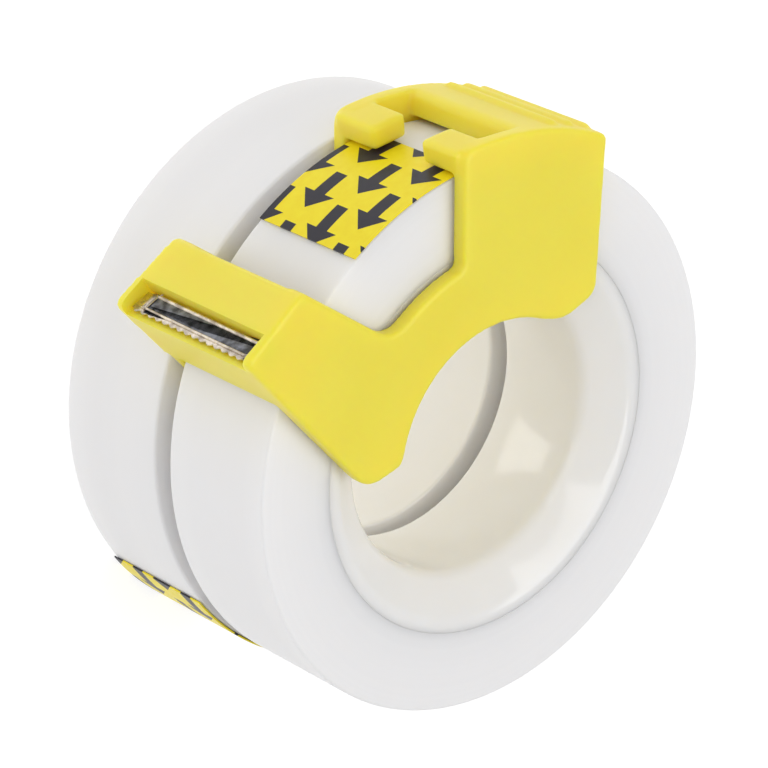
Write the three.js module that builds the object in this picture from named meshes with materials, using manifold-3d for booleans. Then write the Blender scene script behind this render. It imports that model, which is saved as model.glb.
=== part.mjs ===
// Hand tape dispenser: a moulded clip with a steel cutter, carried on a roll of tape,
// lying on a spare roll. Millimetres, +Z up, both rolls lie flat and share one vertical axis.
import * as THREE from 'three';
import { mergeVertices } from 'three/addons/utils/BufferGeometryUtils.js';
import Module from 'manifold-3d';

// Tape rolls
const TAPE_WIDTH = 18;
const ROLL_RADIUS = 36.5;
const CORE_RADIUS = 26;
const BORE_RADIUS = 19.1;
const WINDING_CLEARANCE = 0.3; // between the core and the first turn
const CORE_INSET = 0.5; // the core's rims lie this far inside the tape's side faces
const RIM_WIDTH = 1.4; // flat rim round the core's dished face
const DISH_DEPTH = 3.1; // from the tape's upper side face down to the edge of the bore
const BORE_CHAMFER = 0.6;

// Pull tab stuck over the free end of the tape
const TAB_ARC = 30; // degrees of the roll that it covers
const TAB_STANDOFF = 0.1;
const TAB_THICKNESS = 0.2;
const TAB_SIDE_INSET = 0.1;
const TAB_START = 96.5; // degrees, front roll
const SPARE_TAB_START = 215.5; // degrees, spare roll

// Clip: running clearances and walls
const SIDE_CLEARANCE = 0.3; // cheek to the front roll
const SPARE_CLEARANCE = 0.5; // lower cheek to the spare roll
const ROLL_CLEARANCE = 0.7; // bridge, fingers and head to the tape's surface
const LIP_CLEARANCE = 0.4; // lip to the core's bore
const CHEEK_THICKNESS = 2.1;
const BRIDGE_THICKNESS = 3.2;
const LIP_THICKNESS = 2.5;
const LIP_REACH = 7.5; // how far the lips enter the bore from the tape's side face
const HEAD_WALL = 1.9;
const HEAD_FLARE = 1.35; // the cheeks lean out this far on each side at the head's front edge
const FLARE_START = 22.4; // from the axis, towards the head, where they start to lean out

// Clip: outline, as distances from the roll's surface, the core or the bore, and bearings
const CREST_STANDOFF = 7;
const CREST_BEARING = 138.2;
const FRONT_STANDOFF = 10.75;
const FRONT_BEARING = 151.7;
const NOTCH_DEPTH = 0.3; // the notch's floor lies this far inside the core's radius
const NOTCH_BEARINGS = [133.5, 127, 107, 104.9]; // corner, floor start, floor end, corner
const BRIDGE_BEARINGS = [65.2, 86];
const LOWER_NOTCH_LEAD = 1.6; // the lower cheek's notch ends this much further round
const UPPER_FINGER = { bearings: [93.3, 100.5], length: 7.6 }; // from the cheek's outer face
const LOWER_FINGER = { bearings: [94.5, 102.5], length: 8.1 };
const LOBE_REACH = 3.3; // outer corner of the short lobe, beyond the bore
const LOBE_BEARINGS = [45.5, 53.2];
const LONG_LOBE_REACH = 2.8; // tip of the long lobe, beyond the bore
const LONG_LOBE_BEARINGS = [173.9, 179.5];
const LIP_BEARINGS = [66, 168];
const LOBE_ROOT = 1; // outside the lip's inner radius
const LONG_LOBE_ROOT = 0.3;

// Clip: distance from each corner of the outline at which its rounding starts
const ROUNDING = {
  crest: 0.8,
  notchEntry: 3,
  notchCorner: 0.8,
  bridgeStart: 1.8,
  bridgeEnd: 0.7,
  lobe: 1.6,
  lobeRoot: 1.8,
  longLobeRoot: 0.8,
  longLobe: 2.4,
  front: 1.3,
};
const BRIDGE_ARC_TRIM = 3; // degrees left at each end of the bridge's arc for its rounded corners

// Grip ridges across the bridge
const RIDGE_BEARINGS = [76.6, 72.4, 68.2];
const RIDGE_RADIUS = 0.9;
const RIDGE_PROUD = 0.6;
const RIDGE_MARGIN = 1.6; // from each cheek's outer face

// Cutter blade and its recess, measured along the head's roof from its front edge and down from it
const TOOTH_COUNT = 16;
const TOOTH_DEPTH = 0.5;
const BLADE_OVERHANG = 2.2; // blade beyond the tape's edge, each side
const BLADE_THICKNESS = 0.4;
const BLADE_RIM = 0.5; // width and height of the turned-up rim
const BLADE_FRONT = 0.9;
const BLADE_DEPTH = 3.2; // tooth tips to the rear rim
const BLADE_FRONT_DROP = 1.2; // top of the blade's plate below the roof, at the tooth tips
const BLADE_REAR_DROP = 1.75; // and at the rear rim
const SEAT_CLEARANCE = 0.3;
const RECESS_CLEARANCE = 0.35;
const SEAT_FLOOR = 1.3;

// Facets
const ROLL_SEGMENTS = 120;
const ARC_STEP = 3; // degrees
const CORNER_STEPS = 4;

const FRONT_BASE = TAPE_WIDTH + SPARE_CLEARANCE + CHEEK_THICKNESS + SIDE_CLEARANCE;
const FRONT_TOP = FRONT_BASE + TAPE_WIDTH;
const CLIP_BASE = TAPE_WIDTH + SPARE_CLEARANCE;
const CLIP_TOP = FRONT_TOP + SIDE_CLEARANCE + CHEEK_THICKNESS;
const NOTCH_RADIUS = CORE_RADIUS - NOTCH_DEPTH;
const INNER_RADIUS = ROLL_RADIUS + ROLL_CLEARANCE;
const OUTER_RADIUS = INNER_RADIUS + BRIDGE_THICKNESS;
const LIP_OUTER_RADIUS = BORE_RADIUS - LIP_CLEARANCE;
const LIP_INNER_RADIUS = LIP_OUTER_RADIUS - LIP_THICKNESS;

const wasm = await Module();
wasm.setup();

/** Point at a radius from the roll's axis and a bearing in degrees. */
function at(radius, degrees) {
  const angle = THREE.MathUtils.degToRad(degrees);
  return new THREE.Vector2(radius * Math.cos(angle), radius * Math.sin(angle));
}

/** Closed solid of manifold-3d from a three.js geometry. */
function solid(geometry) {
  const bare = geometry.clone();
  bare.deleteAttribute('normal');
  bare.deleteAttribute('uv');
  const merged = mergeVertices(bare, 1e-5);
  const vertProperties = new Float32Array(merged.attributes.position.array);
  const triVerts = new Uint32Array(merged.index.array);
  return new wasm.Manifold(new wasm.Mesh({ numProp: 3, vertProperties, triVerts }));
}

/** Geometry with flat faces from a solid of manifold-3d. */
function geometryOf(manifold) {
  const mesh = manifold.getMesh();
  const geometry = new THREE.BufferGeometry();
  geometry.setAttribute('position', new THREE.BufferAttribute(mesh.vertProperties, 3));
  geometry.setIndex(new THREE.BufferAttribute(mesh.triVerts, 1));
  const flat = geometry.toNonIndexed();
  flat.computeVertexNormals();
  return flat;
}

/** Solid that stands on `base` with the outline's shape. */
function prism(outline, base, top) {
  const geometry = new THREE.ExtrudeGeometry(outline, { depth: top - base, bevelEnabled: false });
  return geometry.translate(0, 0, base);
}

/** Ring about the Z axis from a closed profile of [radius, height] points, anticlockwise. */
function ring(profile, base) {
  const points = profile.map(([radius, height]) => new THREE.Vector2(radius, height));
  points.push(points[0].clone());
  const geometry = new THREE.LatheGeometry(points, ROLL_SEGMENTS);
  return geometry.rotateX(Math.PI / 2).translate(0, 0, base);
}

/** Points along an arc about the roll's axis, both ends included. */
function arcPoints(radius, from, to) {
  const steps = Math.max(1, Math.ceil(Math.abs(to - from) / ARC_STEP));
  return Array.from({ length: steps + 1 }, (_, i) => at(radius, from + ((to - from) * i) / steps));
}

/** Points that round off the corner at `tip`, which lies between `before` and `after`. */
function cornerPoints(before, tip, after, round) {
  const start = tip.clone().add(before.clone().sub(tip).setLength(round));
  const end = tip.clone().add(after.clone().sub(tip).setLength(round));
  return new THREE.QuadraticBezierCurve(start, tip, end).getPoints(CORNER_STEPS);
}

/** Outline from stations: rounded corners {tip, round} and arcs {radius, from, to}. */
function outlineOf(stations) {
  const first = (station) => station.tip ?? at(station.radius, station.from);
  const last = (station) => station.tip ?? at(station.radius, station.to);
  const points = stations.flatMap((station, i) => {
    const before = last(stations.at(i - 1));
    const after = first(stations[(i + 1) % stations.length]);
    return station.tip
      ? cornerPoints(before, station.tip, after, station.round)
      : arcPoints(station.radius, station.from, station.to);
  });
  return new THREE.Shape(points);
}

/** Outline of a sector of a ring about the roll's axis. */
function sector(inner, outer, from, to) {
  return new THREE.Shape([...arcPoints(inner, from, to), ...arcPoints(outer, to, from)]);
}

/** Wound tape: a plain ring with sharp edges. */
function windingGeometry(base) {
  const inner = CORE_RADIUS + WINDING_CLEARANCE;
  return ring([[inner, 0], [ROLL_RADIUS, 0], [ROLL_RADIUS, TAPE_WIDTH], [inner, TAPE_WIDTH]], base);
}

/** Core: flat below; above, a flat rim and then a dished face that slopes down to the bore. */
function coreGeometry() {
  const mouth = BORE_RADIUS + BORE_CHAMFER;
  const top = TAPE_WIDTH - CORE_INSET;
  const dishBottom = TAPE_WIDTH - DISH_DEPTH;
  return ring([
    [mouth, CORE_INSET],
    [CORE_RADIUS, CORE_INSET],
    [CORE_RADIUS, top],
    [CORE_RADIUS - RIM_WIDTH, top],
    [mouth, dishBottom],
    [BORE_RADIUS, dishBottom - BORE_CHAMFER],
    [BORE_RADIUS, CORE_INSET + BORE_CHAMFER],
  ], 0);
}

/** The spare roll's core: turned over, so that the two flat faces meet between the rolls. */
function spareCoreGeometry() {
  return coreGeometry().rotateX(Math.PI).translate(0, 0, TAPE_WIDTH);
}

/** Pull tab: a thin sector laid on the tape. */
function tabGeometry(start, base) {
  const inner = ROLL_RADIUS + TAB_STANDOFF;
  const outline = sector(inner, inner + TAB_THICKNESS, start, start + TAB_ARC);
  return prism(outline, base + TAB_SIDE_INSET, base + TAPE_WIDTH - TAB_SIDE_INSET);
}

const crest = at(ROLL_RADIUS + CREST_STANDOFF, CREST_BEARING);
const front = at(ROLL_RADIUS + FRONT_STANDOFF, FRONT_BEARING);
const longLobeTip = at(BORE_RADIUS + LONG_LOBE_REACH, LONG_LOBE_BEARINGS[1]);
const roofDirection = crest.clone().sub(front).normalize();
const roofDown = new THREE.Vector2(roofDirection.y, -roofDirection.x);
const chinDirection = longLobeTip.clone().sub(front).normalize();

/** Point on the head's section: `along` the roof from its front edge, and `down` from the roof. */
function onHead(along, down) {
  const point = front.clone().addScaledVector(roofDirection, along);
  return point.addScaledVector(roofDown, down);
}

/** Point `down` the head's section, `inward` of the chin's outer face. */
function onChin(inward, down) {
  const slope = chinDirection.dot(roofDirection) / chinDirection.dot(roofDown);
  return onHead(slope * down + inward, down);
}

/** Point on the blade's section: `along` the roof as above, and `up` from the tilted plate's top. */
function onBlade(along, up) {
  const share = (along - BLADE_FRONT) / BLADE_DEPTH;
  return onHead(along, THREE.MathUtils.lerp(BLADE_FRONT_DROP, BLADE_REAR_DROP, share) - up);
}

/** Outline of a cheek, from the head's crest round the notch, the bridge and the lobes. */
function cheekOutline(lead) {
  const notchSide = at(NOTCH_RADIUS, NOTCH_BEARINGS[3]).x - lead;
  const onNotchSide = (radius) => new THREE.Vector2(notchSide, Math.sqrt(radius ** 2 - notchSide ** 2));
  const bearingOf = (point) => THREE.MathUtils.radToDeg(point.angle());
  const notchCorner = onNotchSide(NOTCH_RADIUS);
  const bridgeStart = onNotchSide(OUTER_RADIUS);
  const floorEnd = bearingOf(notchCorner) + NOTCH_BEARINGS[2] - NOTCH_BEARINGS[3];
  return outlineOf([
    { tip: crest, round: ROUNDING.crest },
    { tip: at(NOTCH_RADIUS, NOTCH_BEARINGS[0]), round: ROUNDING.notchEntry },
    { radius: NOTCH_RADIUS, from: NOTCH_BEARINGS[1], to: floorEnd },
    { tip: notchCorner, round: ROUNDING.notchCorner },
    { tip: bridgeStart, round: ROUNDING.bridgeStart },
    {
      radius: OUTER_RADIUS,
      from: bearingOf(bridgeStart) - BRIDGE_ARC_TRIM,
      to: BRIDGE_BEARINGS[0] + BRIDGE_ARC_TRIM,
    },
    { tip: at(OUTER_RADIUS, BRIDGE_BEARINGS[0]), round: ROUNDING.bridgeEnd },
    { tip: at(BORE_RADIUS + LOBE_REACH, LOBE_BEARINGS[0]), round: ROUNDING.lobe },
    { tip: at(LIP_INNER_RADIUS + LOBE_ROOT, LOBE_BEARINGS[1]), round: ROUNDING.lobeRoot },
    { radius: LIP_INNER_RADIUS, from: LIP_BEARINGS[0], to: LIP_BEARINGS[1] },
    { tip: at(LIP_INNER_RADIUS + LONG_LOBE_ROOT, LONG_LOBE_BEARINGS[0]), round: ROUNDING.longLobeRoot },
    { tip: longLobeTip, round: ROUNDING.longLobe },
    { tip: front, round: ROUNDING.front },
  ]);
}

/** Head between the cheeks: roof plate, blade seat and chin plate, open towards the roll. */
function headOutline() {
  const roofLength = crest.distanceTo(front);
  const seatUnderside = BLADE_REAR_DROP + BLADE_THICKNESS + SEAT_CLEARANCE + SEAT_FLOOR;
  const seatLength = BLADE_FRONT + BLADE_DEPTH + RECESS_CLEARANCE + SEAT_FLOOR;
  const chinLength = front.length() - INNER_RADIUS + HEAD_WALL;
  const inside = [
    onHead(roofLength, HEAD_WALL),
    onHead(seatLength + SEAT_FLOOR, HEAD_WALL),
    onHead(seatLength, seatUnderside),
    onChin(HEAD_WALL, seatUnderside),
    onChin(HEAD_WALL, chinLength),
    onChin(0, chinLength),
  ];
  return new THREE.Shape([
    ...cornerPoints(inside.at(-1), front, crest, ROUNDING.front),
    ...cornerPoints(front, crest, inside[0], ROUNDING.crest),
    ...inside,
  ]);
}

/** Room between the clip's side faces, which lean out towards the head; long and tall otherwise. */
function sideTaperGeometry() {
  const reach = 2 * OUTER_RADIUS;
  const flare = (HEAD_FLARE * (reach - FLARE_START)) / (-front.x - FLARE_START);
  const section = new THREE.Shape([
    new THREE.Vector2(-reach, CLIP_BASE - flare),
    new THREE.Vector2(-FLARE_START, CLIP_BASE),
    new THREE.Vector2(reach, CLIP_BASE),
    new THREE.Vector2(reach, CLIP_TOP),
    new THREE.Vector2(-FLARE_START, CLIP_TOP),
    new THREE.Vector2(-reach, CLIP_TOP + flare),
  ]);
  return prism(section, -reach, reach).rotateX(Math.PI / 2);
}

/** Cutter recess: its floor runs along the blade, open to the front and shut on the other sides. */
function recessGeometry() {
  const floor = -BLADE_THICKNESS - SEAT_CLEARANCE;
  const rear = BLADE_FRONT + BLADE_DEPTH + RECESS_CLEARANCE;
  const margin = BLADE_OVERHANG + RECESS_CLEARANCE;
  const outline = new THREE.Shape([
    onHead(-BLADE_DEPTH, -HEAD_WALL),
    onHead(rear, -HEAD_WALL),
    onBlade(rear, floor),
    onBlade(-BLADE_DEPTH, floor),
  ]);
  return prism(outline, FRONT_BASE - margin, FRONT_TOP + margin);
}

/** Curved lips that carry the core, one on each cheek. */
function lipGeometries() {
  const outline = sector(LIP_INNER_RADIUS, LIP_OUTER_RADIUS, ...LIP_BEARINGS);
  return [
    prism(outline, CLIP_BASE + CHEEK_THICKNESS / 2, FRONT_BASE + LIP_REACH),
    prism(outline, FRONT_TOP - LIP_REACH, CLIP_TOP - CHEEK_THICKNESS / 2),
  ];
}

/** Hold-down fingers that reach over the tape from each cheek. */
function fingerGeometries() {
  const outline = (finger) => sector(INNER_RADIUS - 1, OUTER_RADIUS, ...finger.bearings);
  return [
    prism(outline(LOWER_FINGER), CLIP_BASE, CLIP_BASE + LOWER_FINGER.length),
    prism(outline(UPPER_FINGER), CLIP_TOP - UPPER_FINGER.length, CLIP_TOP),
  ];
}

/** Rounded grip ridges across the bridge. */
function ridgeGeometries() {
  const length = CLIP_TOP - CLIP_BASE - 2 * RIDGE_MARGIN;
  return RIDGE_BEARINGS.map((bearing) => {
    const centre = at(OUTER_RADIUS + RIDGE_PROUD - RIDGE_RADIUS, bearing);
    const ridge = new THREE.CylinderGeometry(RIDGE_RADIUS, RIDGE_RADIUS, length, 16);
    return ridge.rotateX(Math.PI / 2).translate(centre.x, centre.y, (CLIP_BASE + CLIP_TOP) / 2);
  });
}

/** The clip: all that spans the roll is cut back to clear it, and the cheeks are added. */
function clipGeometry() {
  const low = CLIP_BASE - HEAD_FLARE;
  const high = CLIP_TOP + HEAD_FLARE;
  const bridge = sector(INNER_RADIUS - 1, OUTER_RADIUS, ...BRIDGE_BEARINGS);
  const spanning = [
    prism(bridge, CLIP_BASE, CLIP_TOP),
    prism(headOutline(), low, high),
    prism(cheekOutline(LOWER_NOTCH_LEAD), low, CLIP_BASE),
    ...fingerGeometries(),
  ];
  const facets = 3 * ROLL_SEGMENTS;
  const rollSpace = new THREE.CylinderGeometry(INNER_RADIUS, INNER_RADIUS, 3 * CLIP_TOP, facets);
  rollSpace.rotateX(Math.PI / 2);
  const span = spanning.map(solid).reduce((sum, part) => sum.add(part)).subtract(solid(rollSpace));
  const cheeks = [
    prism(cheekOutline(LOWER_NOTCH_LEAD), CLIP_BASE, CLIP_BASE + CHEEK_THICKNESS),
    prism(cheekOutline(0), CLIP_TOP - CHEEK_THICKNESS, high),
  ];
  const added = [...cheeks, ...lipGeometries(), ...ridgeGeometries()];
  const whole = added.map(solid).reduce((sum, part) => sum.add(part), span);
  const tapered = whole.intersect(solid(sideTaperGeometry()));
  return geometryOf(tapered.subtract(solid(recessGeometry())));
}

/** Blade: a tilted plate with a turned-up rim on three sides and a row of teeth along the front. */
function bladeGeometry() {
  const bottom = FRONT_BASE - BLADE_OVERHANG;
  const top = FRONT_TOP + BLADE_OVERHANG;
  const rear = BLADE_FRONT + BLADE_DEPTH;
  const root = BLADE_FRONT + TOOTH_DEPTH;
  const slab = (from, up, base, height) => {
    const corners = [onBlade(from, up), onBlade(rear, up)];
    corners.push(onBlade(rear, -BLADE_THICKNESS), onBlade(from, -BLADE_THICKNESS));
    return solid(prism(new THREE.Shape(corners), base, height));
  };
  const plate = slab(BLADE_FRONT, 0, bottom, top);
  const rims = [
    slab(rear - BLADE_RIM, BLADE_RIM, bottom, top),
    slab(root, BLADE_RIM, bottom, bottom + BLADE_RIM),
    slab(root, BLADE_RIM, top - BLADE_RIM, top),
  ];
  const pitch = (top - bottom) / TOOTH_COUNT;
  const gullets = Array.from({ length: TOOTH_COUNT + 1 }, (_, i) => {
    return solid(gulletGeometry(bottom + i * pitch, pitch));
  });
  const blank = rims.reduce((sum, rim) => sum.add(rim), plate);
  return geometryOf(gullets.reduce((rest, gullet) => rest.subtract(gullet), blank));
}

/** Three-sided cutter for the gap between two teeth, centred at a height on the blade. */
function gulletGeometry(height, pitch) {
  const reach = 2 * TOOTH_DEPTH;
  const thickness = 3 * (BLADE_REAR_DROP + BLADE_THICKNESS);
  const wedge = new THREE.Shape([
    new THREE.Vector2(BLADE_FRONT + TOOTH_DEPTH, 0),
    new THREE.Vector2(BLADE_FRONT + TOOTH_DEPTH - reach, pitch),
    new THREE.Vector2(BLADE_FRONT + TOOTH_DEPTH - reach, -pitch),
  ]);
  const geometry = new THREE.ExtrudeGeometry(wedge, { depth: thickness, bevelEnabled: false });
  geometry.translate(0, 0, -thickness / 2);
  const along = new THREE.Vector3(roofDirection.x, roofDirection.y, 0);
  const up = new THREE.Vector3(-roofDown.x, -roofDown.y, 0);
  const across = new THREE.Vector3().crossVectors(up, along);
  const frame = new THREE.Matrix4().makeBasis(along, across, up);
  return geometry.applyMatrix4(frame.setPosition(front.x, front.y, height));
}

/** Plain finish for one piece. */
function finish(color, roughness, metalness = 0) {
  return new THREE.MeshStandardMaterial({ color, roughness, metalness, flatShading: true });
}

const tapeFinish = () => finish(0xe6e3e2, 0.55);
const coreFinish = () => finish(0xebe6df, 0.3);
const tabFinish = () => finish(0xeee12a, 0.4);

const group = new THREE.Group();
const pieces = [
  ['wound_tape', windingGeometry(FRONT_BASE), tapeFinish()],
  ['tape_core', coreGeometry().translate(0, 0, FRONT_BASE), coreFinish()],
  ['leader_tab', tabGeometry(TAB_START, FRONT_BASE), tabFinish()],
  ['spare_wound_tape', windingGeometry(0), tapeFinish()],
  ['spare_tape_core', spareCoreGeometry(), coreFinish()],
  ['spare_leader_tab', tabGeometry(SPARE_TAB_START, 0), tabFinish()],
  ['dispenser_clip', clipGeometry(), finish(0xeadb4a, 0.45)],
  ['cutter_blade', bladeGeometry(), finish(0x8b8b92, 0.3, 1)],
];
for (const [name, geometry, material] of pieces) {
  const mesh = new THREE.Mesh(geometry, material);
  mesh.name = name;
  group.add(mesh);
}

// The origin is at the middle of the base of the whole object's box.
const box = new THREE.Box3().setFromObject(group);
group.position.set(-(box.min.x + box.max.x) / 2, -(box.min.y + box.max.y) / 2, -box.min.z);

export default group;
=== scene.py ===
"""Finished look of a clip-on tape dispenser that sits on a roll of tape and lies on a spare roll.

Every piece is modelled in millimetres round the rolls' common axis and then set into the
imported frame, in metres, by its mesh.
"""

import logging
import math
from dataclasses import dataclass, field
from enum import Enum
from typing import Callable, Sequence, Union

import bpy
from mathutils import Matrix, Vector


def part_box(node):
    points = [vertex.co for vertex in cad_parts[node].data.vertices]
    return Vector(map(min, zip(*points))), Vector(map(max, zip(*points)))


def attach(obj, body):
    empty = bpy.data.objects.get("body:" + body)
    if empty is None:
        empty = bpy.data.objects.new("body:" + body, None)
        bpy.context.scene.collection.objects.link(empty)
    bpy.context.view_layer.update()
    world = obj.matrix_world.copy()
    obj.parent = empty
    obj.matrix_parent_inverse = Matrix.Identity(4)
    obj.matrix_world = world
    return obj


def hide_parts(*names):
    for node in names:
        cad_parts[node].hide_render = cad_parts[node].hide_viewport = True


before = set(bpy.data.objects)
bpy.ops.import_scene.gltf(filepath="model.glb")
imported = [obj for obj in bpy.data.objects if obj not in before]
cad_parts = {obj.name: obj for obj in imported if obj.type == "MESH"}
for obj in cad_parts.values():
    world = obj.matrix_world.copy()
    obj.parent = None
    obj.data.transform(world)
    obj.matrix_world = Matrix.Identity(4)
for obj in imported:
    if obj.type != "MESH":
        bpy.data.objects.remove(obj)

log = logging.getLogger("tape_dispenser")

MILLIMETRE = 0.001
FRONT_TAB_START = 96.5  # degrees
SPARE_TAB_START = 215.5

Point = Vector
Outline = list[Vector]
Socket = bpy.types.NodeSocket
Value = Union[float, Socket]
FaceTest = Callable[[bpy.types.MeshPolygon], bool]


class Body(str, Enum):
    """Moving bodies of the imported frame."""

    SPARE = "spare_roll"
    CLIP = "dispenser"
    ROLL = "tape_roll"


class Slot(str, Enum):
    """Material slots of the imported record."""

    FILM = "tape_film"
    CORE = "core_plastic"
    TAB = "printed_tab"
    CLIP = "clip_plastic"
    STEEL = "blade_steel"


# ---------------------------------------------------------------- outlines


def at(radius: float, bearing: float) -> Point:
    """Point in plan at a radius from the rolls' axis and a bearing in degrees."""
    angle = math.radians(bearing)
    return Vector((radius * math.cos(angle), radius * math.sin(angle)))


def arc(radius: float, start: float, end: float, step: float = 1.5) -> Outline:
    """Points along an arc round the rolls' axis, both ends included.

    Args:
        radius: radius of the arc in millimetres.
        start: first bearing in degrees.
        end: last bearing in degrees.
        step: widest step between two points in degrees.

    Returns:
        The points in order.
    """
    count = max(1, math.ceil(abs(end - start) / step))
    return [at(radius, start + (end - start) * i / count) for i in range(count + 1)]


def rounded(before: Point, tip: Point, after: Point, size: float, steps: int = 6) -> Outline:
    """Points that round the corner at a tip.

    Args:
        before: point of the outline before the tip.
        tip: the sharp corner.
        after: point of the outline after the tip.
        size: distance from the tip at which the rounding starts.
        steps: number of chords in the rounding.

    Returns:
        The points in order.
    """
    first = tip + (before - tip).normalized() * size
    last = tip + (after - tip).normalized() * size
    share = [i / steps for i in range(steps + 1)]
    return [first * (1 - t) ** 2 + tip * (2 * t * (1 - t)) + last * t**2 for t in share]


def rounded_outline(corners: Sequence[tuple[Point, float]]) -> Outline:
    """Closed outline through corners that each have a rounding size, nought for a sharp one."""
    points: Outline = []
    for i, (tip, size) in enumerate(corners):
        before, after = corners[i - 1][0], corners[(i + 1) % len(corners)][0]
        points += rounded(before, tip, after, size) if size else [tip]
    return points


def bearing_of(point: Point) -> float:
    """Bearing of a point in degrees."""
    return math.degrees(math.atan2(point.y, point.x))


def crossing(inner: Point, outer: Point, radius: float) -> Point:
    """Point where the line from an inner to an outer point crosses a radius."""
    line = outer - inner
    a, b, c = line.dot(line), 2 * inner.dot(line), inner.dot(inner) - radius**2
    return inner + line * ((-b + math.sqrt(b * b - 4 * a * c)) / (2 * a))


# ---------------------------------------------------------------- workbench


class Workbench:
    """Hand tools for making a mesh: a primitive is added, shaped in edit mode and finished."""

    @staticmethod
    def clear() -> None:
        """Deselects everything, in object mode."""
        if bpy.context.mode != "OBJECT":
            bpy.ops.object.mode_set(mode="OBJECT")
        bpy.ops.object.select_all(action="DESELECT")

    @classmethod
    def take(cls, piece: bpy.types.Object) -> None:
        """Makes one piece the only selected and the active one."""
        cls.clear()
        piece.select_set(True)
        bpy.context.view_layer.objects.active = piece

    @classmethod
    def edit(cls, piece: bpy.types.Object, everything: bool = True) -> None:
        """Opens a piece in edit mode with all or nothing of it selected."""
        cls.take(piece)
        bpy.ops.object.mode_set(mode="EDIT")
        bpy.ops.mesh.select_all(action="SELECT" if everything else "DESELECT")

    @staticmethod
    def done() -> bpy.types.Object:
        """Closes edit mode and returns the piece."""
        bpy.ops.object.mode_set(mode="OBJECT")
        return bpy.context.view_layer.objects.active

    @classmethod
    def loop(cls, name: str, places: Sequence[Vector], fill: str = "NOTHING") -> bpy.types.Object:
        """Closed loop of edges: a circle primitive whose points are set to their places."""
        cls.clear()
        bpy.ops.mesh.primitive_circle_add(vertices=len(places), radius=1, fill_type=fill)
        piece = bpy.context.active_object
        piece.name = piece.data.name = name
        for vertex, place in zip(piece.data.vertices, places):
            vertex.co = place
        return piece

    @classmethod
    def plate(cls, name: str, outline: Outline, base: float, top: float) -> bpy.types.Object:
        """Plate of a plan outline, extruded from its base to its top."""
        flat = cls.loop(name, [Vector((p.x, p.y, base)) for p in outline], "NGON")
        cls.edit(flat)
        bpy.ops.mesh.extrude_region_move(TRANSFORM_OT_translate={"value": (0, 0, top - base)})
        bpy.ops.mesh.select_all(action="SELECT")
        bpy.ops.mesh.normals_make_consistent(inside=False)
        return cls.done()

    @classmethod
    def turned(cls, name: str, profile: Sequence[tuple[float, float]], steps: int) -> bpy.types.Object:
        """Ring turned about the Z axis from a closed profile of (radius, height) points."""
        piece = cls.loop(name, [Vector((r, 0, z)) for r, z in profile])
        cls.edit(piece)
        bpy.ops.mesh.spin(
            steps=steps, angle=math.tau, center=(0, 0, 0), axis=(0, 0, 1), use_auto_merge=True
        )
        bpy.ops.mesh.select_all(action="SELECT")
        bpy.ops.mesh.remove_doubles(threshold=0.001)
        bpy.ops.mesh.normals_make_consistent(inside=False)
        return cls.done()

    @classmethod
    def pick_faces(cls, piece: bpy.types.Object, keep: FaceTest) -> None:
        """Opens a piece in edit mode with only the faces that a test keeps selected."""
        cls.edit(piece, everything=False)
        bpy.ops.mesh.select_mode(type="FACE")
        cls.done()
        for face in piece.data.polygons:
            face.select = keep(face)
        bpy.ops.object.mode_set(mode="EDIT")

    @classmethod
    def soften(
        cls,
        piece: bpy.types.Object,
        keep: FaceTest,
        width: float,
        segments: int = 3,
    ) -> bpy.types.Object:
        """Bevels the edges round the faces that a test keeps.

        Args:
            piece: the piece to work on.
            keep: test that is true for the faces whose rim is bevelled.
            width: width of the bevel in millimetres.
            segments: number of strips in the bevel.

        Returns:
            The same piece.
        """
        cls.pick_faces(piece, keep)
        bpy.ops.mesh.region_to_loop()
        bpy.ops.mesh.bevel(offset=width, segments=segments, profile=0.5, affect="EDGES")
        bpy.ops.mesh.select_mode(type="VERT")
        return cls.done()

    @classmethod
    def cut(cls, piece: bpy.types.Object, tool: bpy.types.Object) -> bpy.types.Object:
        """Cuts the tool's shape out of a piece and puts the tool away."""
        cls.take(piece)
        boolean = piece.modifiers.new("cut", "BOOLEAN")
        boolean.operation, boolean.object, boolean.solver = "DIFFERENCE", tool, "EXACT"
        bpy.ops.object.modifier_apply(modifier=boolean.name)
        bpy.data.objects.remove(tool)
        return piece

    @classmethod
    def fold(cls, piece: bpy.types.Object, place: float) -> bpy.types.Object:
        """Adds edges where a piece crosses a place on the X axis, so that it can be folded there."""
        cls.edit(piece)
        bpy.ops.mesh.bisect(plane_co=(place, 0, 0), plane_no=(1, 0, 0))
        return cls.done()

    @classmethod
    def joined(cls, name: str, parts: Sequence[bpy.types.Object]) -> bpy.types.Object:
        """One piece from several."""
        cls.take(parts[0])
        for part in parts:
            part.select_set(True)
        bpy.ops.object.join()
        whole = bpy.context.active_object
        whole.name = whole.data.name = name
        return whole

    @classmethod
    def moulded(cls, piece: bpy.types.Object, grid: float, passes: int) -> bpy.types.Object:
        """Fuses overlapping shells into one skin and rounds its edges and inner corners.

        Args:
            piece: closed shells that overlap.
            grid: size of the new skin's faces in millimetres.
            passes: number of smoothing passes, each of which rounds the corners further.

        Returns:
            The same piece.
        """
        cls.take(piece)
        skin = piece.modifiers.new("skin", "REMESH")
        skin.mode, skin.voxel_size, skin.use_smooth_shade = "VOXEL", grid, True
        bpy.ops.object.modifier_apply(modifier=skin.name)
        relax = piece.modifiers.new("relax", "SMOOTH")
        relax.factor, relax.iterations = 0.5, passes
        bpy.ops.object.modifier_apply(modifier=relax.name)
        return piece

    @classmethod
    def set_in_frame(cls, piece: bpy.types.Object, axis: Vector) -> bpy.types.Object:
        """Turns millimetres about the rolls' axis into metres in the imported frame."""
        place = Matrix.Translation((axis.x, axis.y, 0)) @ Matrix.Scale(MILLIMETRE, 4)
        piece.data.transform(place @ piece.matrix_world)
        piece.matrix_world = Matrix.Identity(4)
        return piece

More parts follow.
